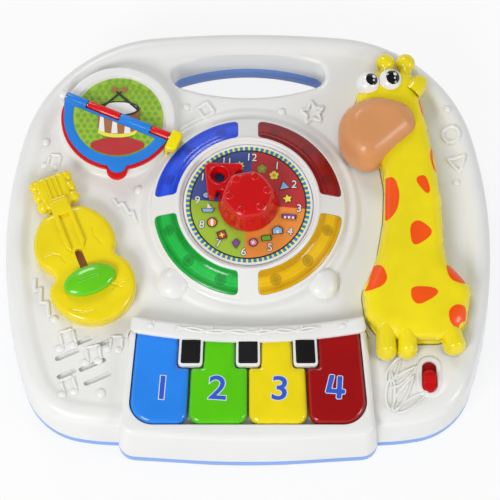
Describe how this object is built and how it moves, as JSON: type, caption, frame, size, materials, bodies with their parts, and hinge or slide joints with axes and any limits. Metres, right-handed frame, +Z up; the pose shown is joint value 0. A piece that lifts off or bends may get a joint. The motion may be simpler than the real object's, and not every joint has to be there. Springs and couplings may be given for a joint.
{
  "type": "musical activity table",
  "caption": "Infant musical activity table with sprung piano keys, a turning clock hand, turning picture pages, a sliding guitar button, a carry handle and a lift-off giraffe handset.",
  "frame": {"origin": "centre of the footprint at the bottom of the foot pads", "axes": "+X to the user's right at the keyboard, +Y from the keyboard to the carry handle, +Z up"},
  "size_m": [0.377, 0.345, 0.0862],
  "materials": {
    "top_shell": "satin white moulded shell",
    "base_shell": "light blue moulded tray",
    "battery_door": "light blue moulded door",
    "door_screw": "zinc plated",
    "batteries": "plain sleeve",
    "battery_contacts": "nickel plated",
    "case_screws": "zinc plated",
    "foot_pads": "matt rubber",
    "lens_blue": "tinted clear",
    "lens_red": "tinted clear",
    "lens_green": "tinted clear",
    "lens_amber": "tinted clear",
    "led_board": "coated board",
    "led_lamps": "diffused",
    "dial_plate": "printed card",
    "clock_knob": "polished",
    "knob_retainer": "zinc plated",
    "key_blue": "polished",
    "key_green": "polished",
    "key_yellow": "polished",
    "key_red": "polished",
    "key_rod": "drawn",
    "black_inlays": "polished",
    "key_board": "coated board",
    "key_domes": "silicone",
    "main_board": "coated board",
    "speaker": "paper cone in a frame",
    "book_card": "printed card",
    "book_rod": "drawn",
    "book_cap": "polished",
    "page_red": "polished",
    "page_blue": "polished",
    "page_red_card": "printed card",
    "page_blue_card": "printed card",
    "guitar_body": "polished",
    "guitar_slider": "polished",
    "slider_retainer": "plain",
    "guitar_screws": "zinc plated",
    "switch_button": "polished",
    "switch_body": "plain",
    "giraffe_front": "polished",
    "giraffe_back": "polished",
    "giraffe_muzzle": "satin",
    "giraffe_eyes": "polished",
    "giraffe_screws": "zinc plated"
  },
  "bodies": {
    "table": {"top_shell": "top_shell", "base_shell": "base_shell", "battery_door": "battery_door", "door_screw": "door_screw", "batteries": "batteries", "battery_contacts": "battery_contacts", "case_screws": "case_screws", "foot_pads": "foot_pads", "lens_blue": "lens_blue", "lens_red": "lens_red", "lens_green": "lens_green", "lens_amber": "lens_amber", "led_board": "led_board", "led_lamps": "led_lamps", "dial_plate": "dial_plate", "key_rod": "key_rod", "black_inlays": "black_inlays", "key_board": "key_board", "key_domes": "key_domes", "main_board": "main_board", "speaker": "speaker", "book_card": "book_card", "book_rod": "book_rod", "book_cap": "book_cap", "guitar_body": "guitar_body", "guitar_screws": "guitar_screws", "switch_body": "switch_body"},
    "clock_hand": {"clock_knob": "clock_knob", "knob_retainer": "knob_retainer"},
    "key_1": {"key_blue": "key_blue"},
    "key_2": {"key_green": "key_green"},
    "key_3": {"key_yellow": "key_yellow"},
    "key_4": {"key_red": "key_red"},
    "page_lower": {"page_red": "page_red", "page_red_card": "page_red_card"},
    "page_upper": {"page_blue": "page_blue", "page_blue_card": "page_blue_card"},
    "guitar_button": {"guitar_slider": "guitar_slider", "slider_retainer": "slider_retainer"},
    "power_switch": {"switch_button": "switch_button"},
    "handset": {"giraffe_front": "giraffe_front", "giraffe_back": "giraffe_back", "giraffe_muzzle": "giraffe_muzzle", "giraffe_eyes": "giraffe_eyes", "giraffe_screws": "giraffe_screws"}
  },
  "joints": [
    {"name": "clock_turn", "type": "hinge", "parent": "table", "child": "clock_hand", "pos_m": [0, 0.017, 0.07], "axis": [0, 0, 1], "continuous": true},
    {"name": "key_1_press", "type": "hinge", "parent": "table", "child": "key_1", "pos_m": [0, -0.0884, 0.0505], "axis": [1, 0, 0], "range_deg": [0, 4], "stiffness_Nm_per_rad": 1.2, "springref_deg": -2.29},
    {"name": "key_2_press", "type": "hinge", "parent": "table", "child": "key_2", "pos_m": [0, -0.0884, 0.0505], "axis": [1, 0, 0], "range_deg": [0, 4], "stiffness_Nm_per_rad": 1.2, "springref_deg": -2.29},
    {"name": "key_3_press", "type": "hinge", "parent": "table", "child": "key_3", "pos_m": [0, -0.0884, 0.0505], "axis": [1, 0, 0], "range_deg": [0, 4], "stiffness_Nm_per_rad": 1.2, "springref_deg": -2.29},
    {"name": "key_4_press", "type": "hinge", "parent": "table", "child": "key_4", "pos_m": [0, -0.0884, 0.0505], "axis": [1, 0, 0], "range_deg": [0, 4], "stiffness_Nm_per_rad": 1.2, "springref_deg": -2.29},
    {"name": "page_lower_turn", "type": "hinge", "parent": "table", "child": "page_lower", "pos_m": [-0.101, 0.091, 0.0605], "axis": [-0.9184, 0.3955, 0], "range_deg": [0, 180]},
    {"name": "page_upper_turn", "type": "hinge", "parent": "page_lower", "child": "page_upper", "pos_m": [-0.101, 0.091, 0.0605], "axis": [-0.9184, 0.3955, 0], "range_deg": [0, 180]},
    {"name": "guitar_button_slide", "type": "slide", "parent": "table", "child": "guitar_button", "axis": [-0.3681, 0.9298, 0], "range_m": [0, 0.02]},
    {"name": "switch_slide", "type": "slide", "parent": "table", "child": "power_switch", "axis": [0, 1, 0], "range_m": [0, 0.0074]},
    {"name": "handset_lift", "type": "slide", "parent": "table", "child": "handset", "axis": [0, 0, 1], "range_m": [0, 0.06]}
  ]
}
